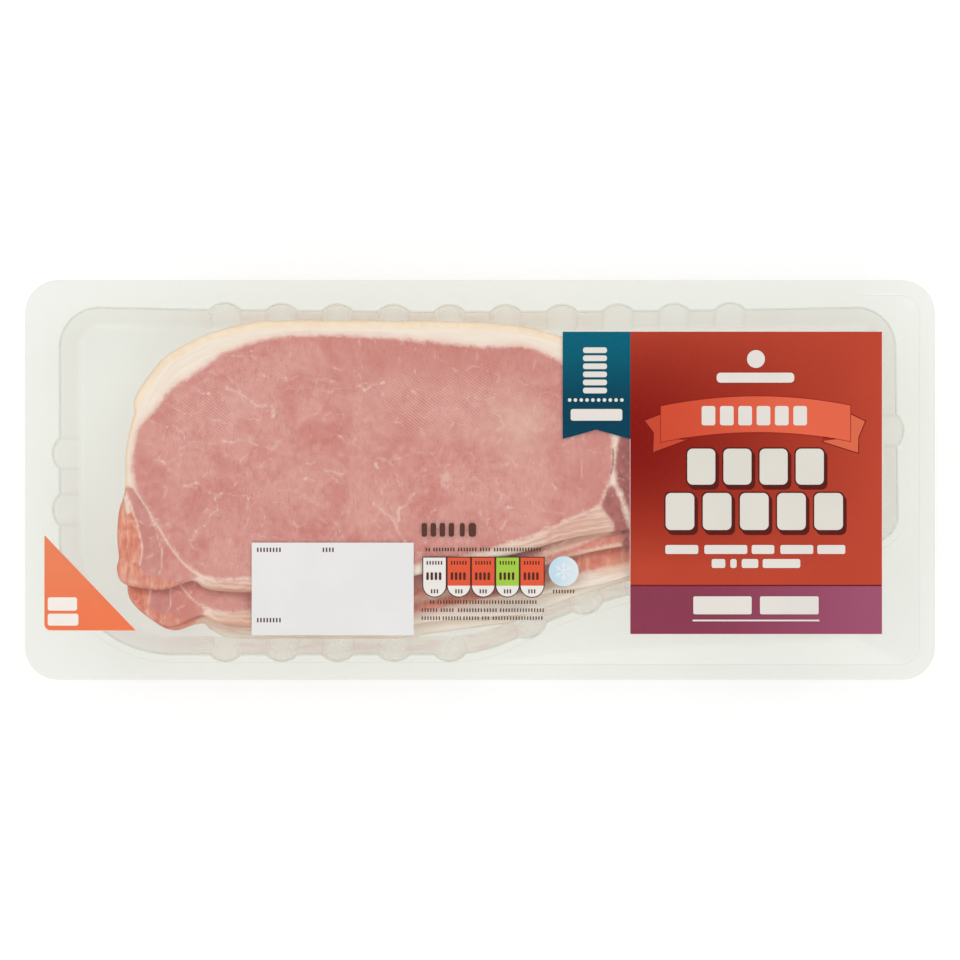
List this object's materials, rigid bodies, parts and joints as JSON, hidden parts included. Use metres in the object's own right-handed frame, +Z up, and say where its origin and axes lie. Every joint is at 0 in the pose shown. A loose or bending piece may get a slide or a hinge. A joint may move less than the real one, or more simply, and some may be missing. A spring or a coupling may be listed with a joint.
{
  "type": "bacon pack",
  "caption": "Sealed clear tray pack of smoked back bacon: fluted formed tray, shingled thick-cut rashers and a flat clear film with plain printed colour panels.",
  "frame": {"origin": "centre of the pack's outline, on the surface that the tray rests on", "axes": "+X along the pack towards the rashers' tails, +Y towards the rashers' rind, +Z up out of the film"},
  "size_m": [0.273, 0.12, 0.0239],
  "materials": {
    "tray_plastic": "clear thermoformed plastic, glossy",
    "lid_film": "clear peel film, glossy",
    "print": "opaque print on the film, glossy",
    "bacon": "moist cured meat: pink lean, cream fat, peach rind"
  },
  "bodies": {
    "root": {"tray": "tray_plastic", "lid_film": "lid_film", "rasher_1": "bacon", "rasher_2": "bacon", "rasher_3": "bacon", "rasher_4": "bacon", "rasher_5": "bacon", "rasher_6": "bacon"}
  },
  "joints": []
}
